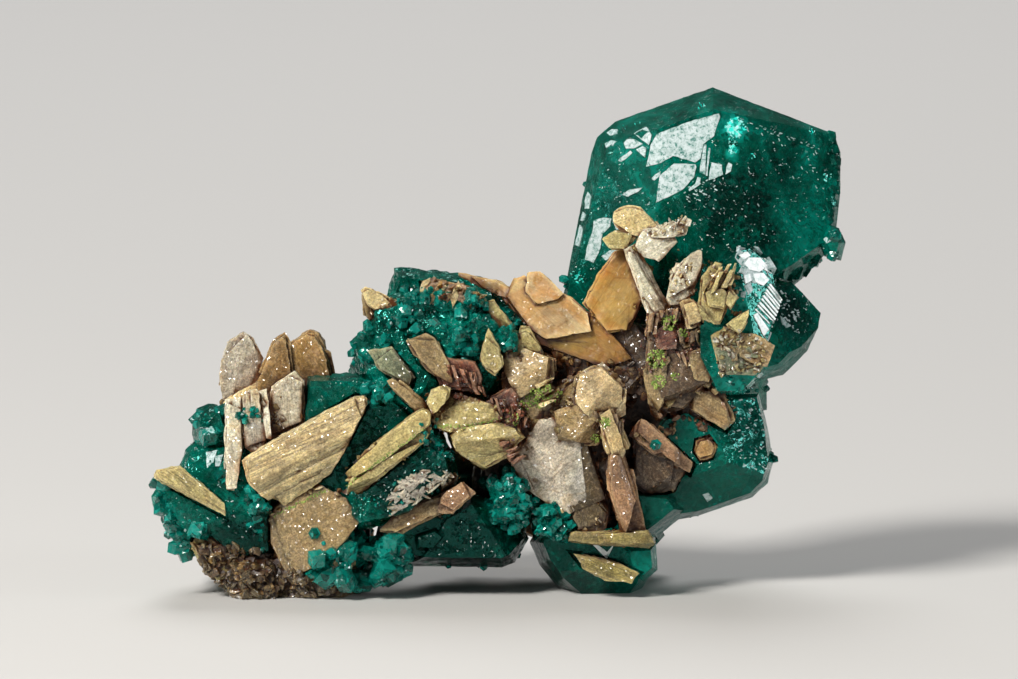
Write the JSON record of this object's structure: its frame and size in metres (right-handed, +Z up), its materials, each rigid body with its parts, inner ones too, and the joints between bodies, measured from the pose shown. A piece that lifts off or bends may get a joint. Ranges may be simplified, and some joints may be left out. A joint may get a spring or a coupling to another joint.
{
  "type": "dioptase crystal specimen",
  "caption": "Natural mineral specimen: emerald-green dioptase crystals grown through a fan of tan tabular blades, standing on its broken base.",
  "frame": {"origin": "bottom centre of the specimen's box, on the plane it stands on", "axes": "+Z up, +X to the right of the front view, +Y away from the viewer of the front view"},
  "size_m": [0.0556, 0.0206, 0.04],
  "materials": {
    "dioptase": "clear deep green crystal, glossy faces",
    "tan_blades": "honey to brown, sugary and dull",
    "pale_blades": "cream to honey, waxy, fine striations"
  },
  "bodies": {
    "root": {"long_tan_blade": "pale_blades", "upright_tan_blades": "pale_blades", "left_spear_blade": "pale_blades", "shoulder_blade": "pale_blades", "wedge_blade": "pale_blades", "saddle_leaf_blade": "pale_blades", "saddle_ridge_blade": "pale_blades", "saddle_crest_blade": "pale_blades", "saddle_tip_blade": "pale_blades", "crown_petal_blades": "pale_blades", "small_leaf_blade": "pale_blades", "striped_crystal_crust": "pale_blades", "large_leaf_blade": "pale_blades", "foot_blade": "pale_blades", "lower_tan_blades": "pale_blades", "base_dioptase": "dioptase", "middle_blade_matrix": "tan_blades", "base_blade_matrix": "tan_blades", "crown_dioptase_group": "dioptase", "saddle_dioptase_group": "dioptase", "left_dioptase_group": "dioptase", "bottom_dioptase_group": "dioptase"}
  },
  "joints": []
}
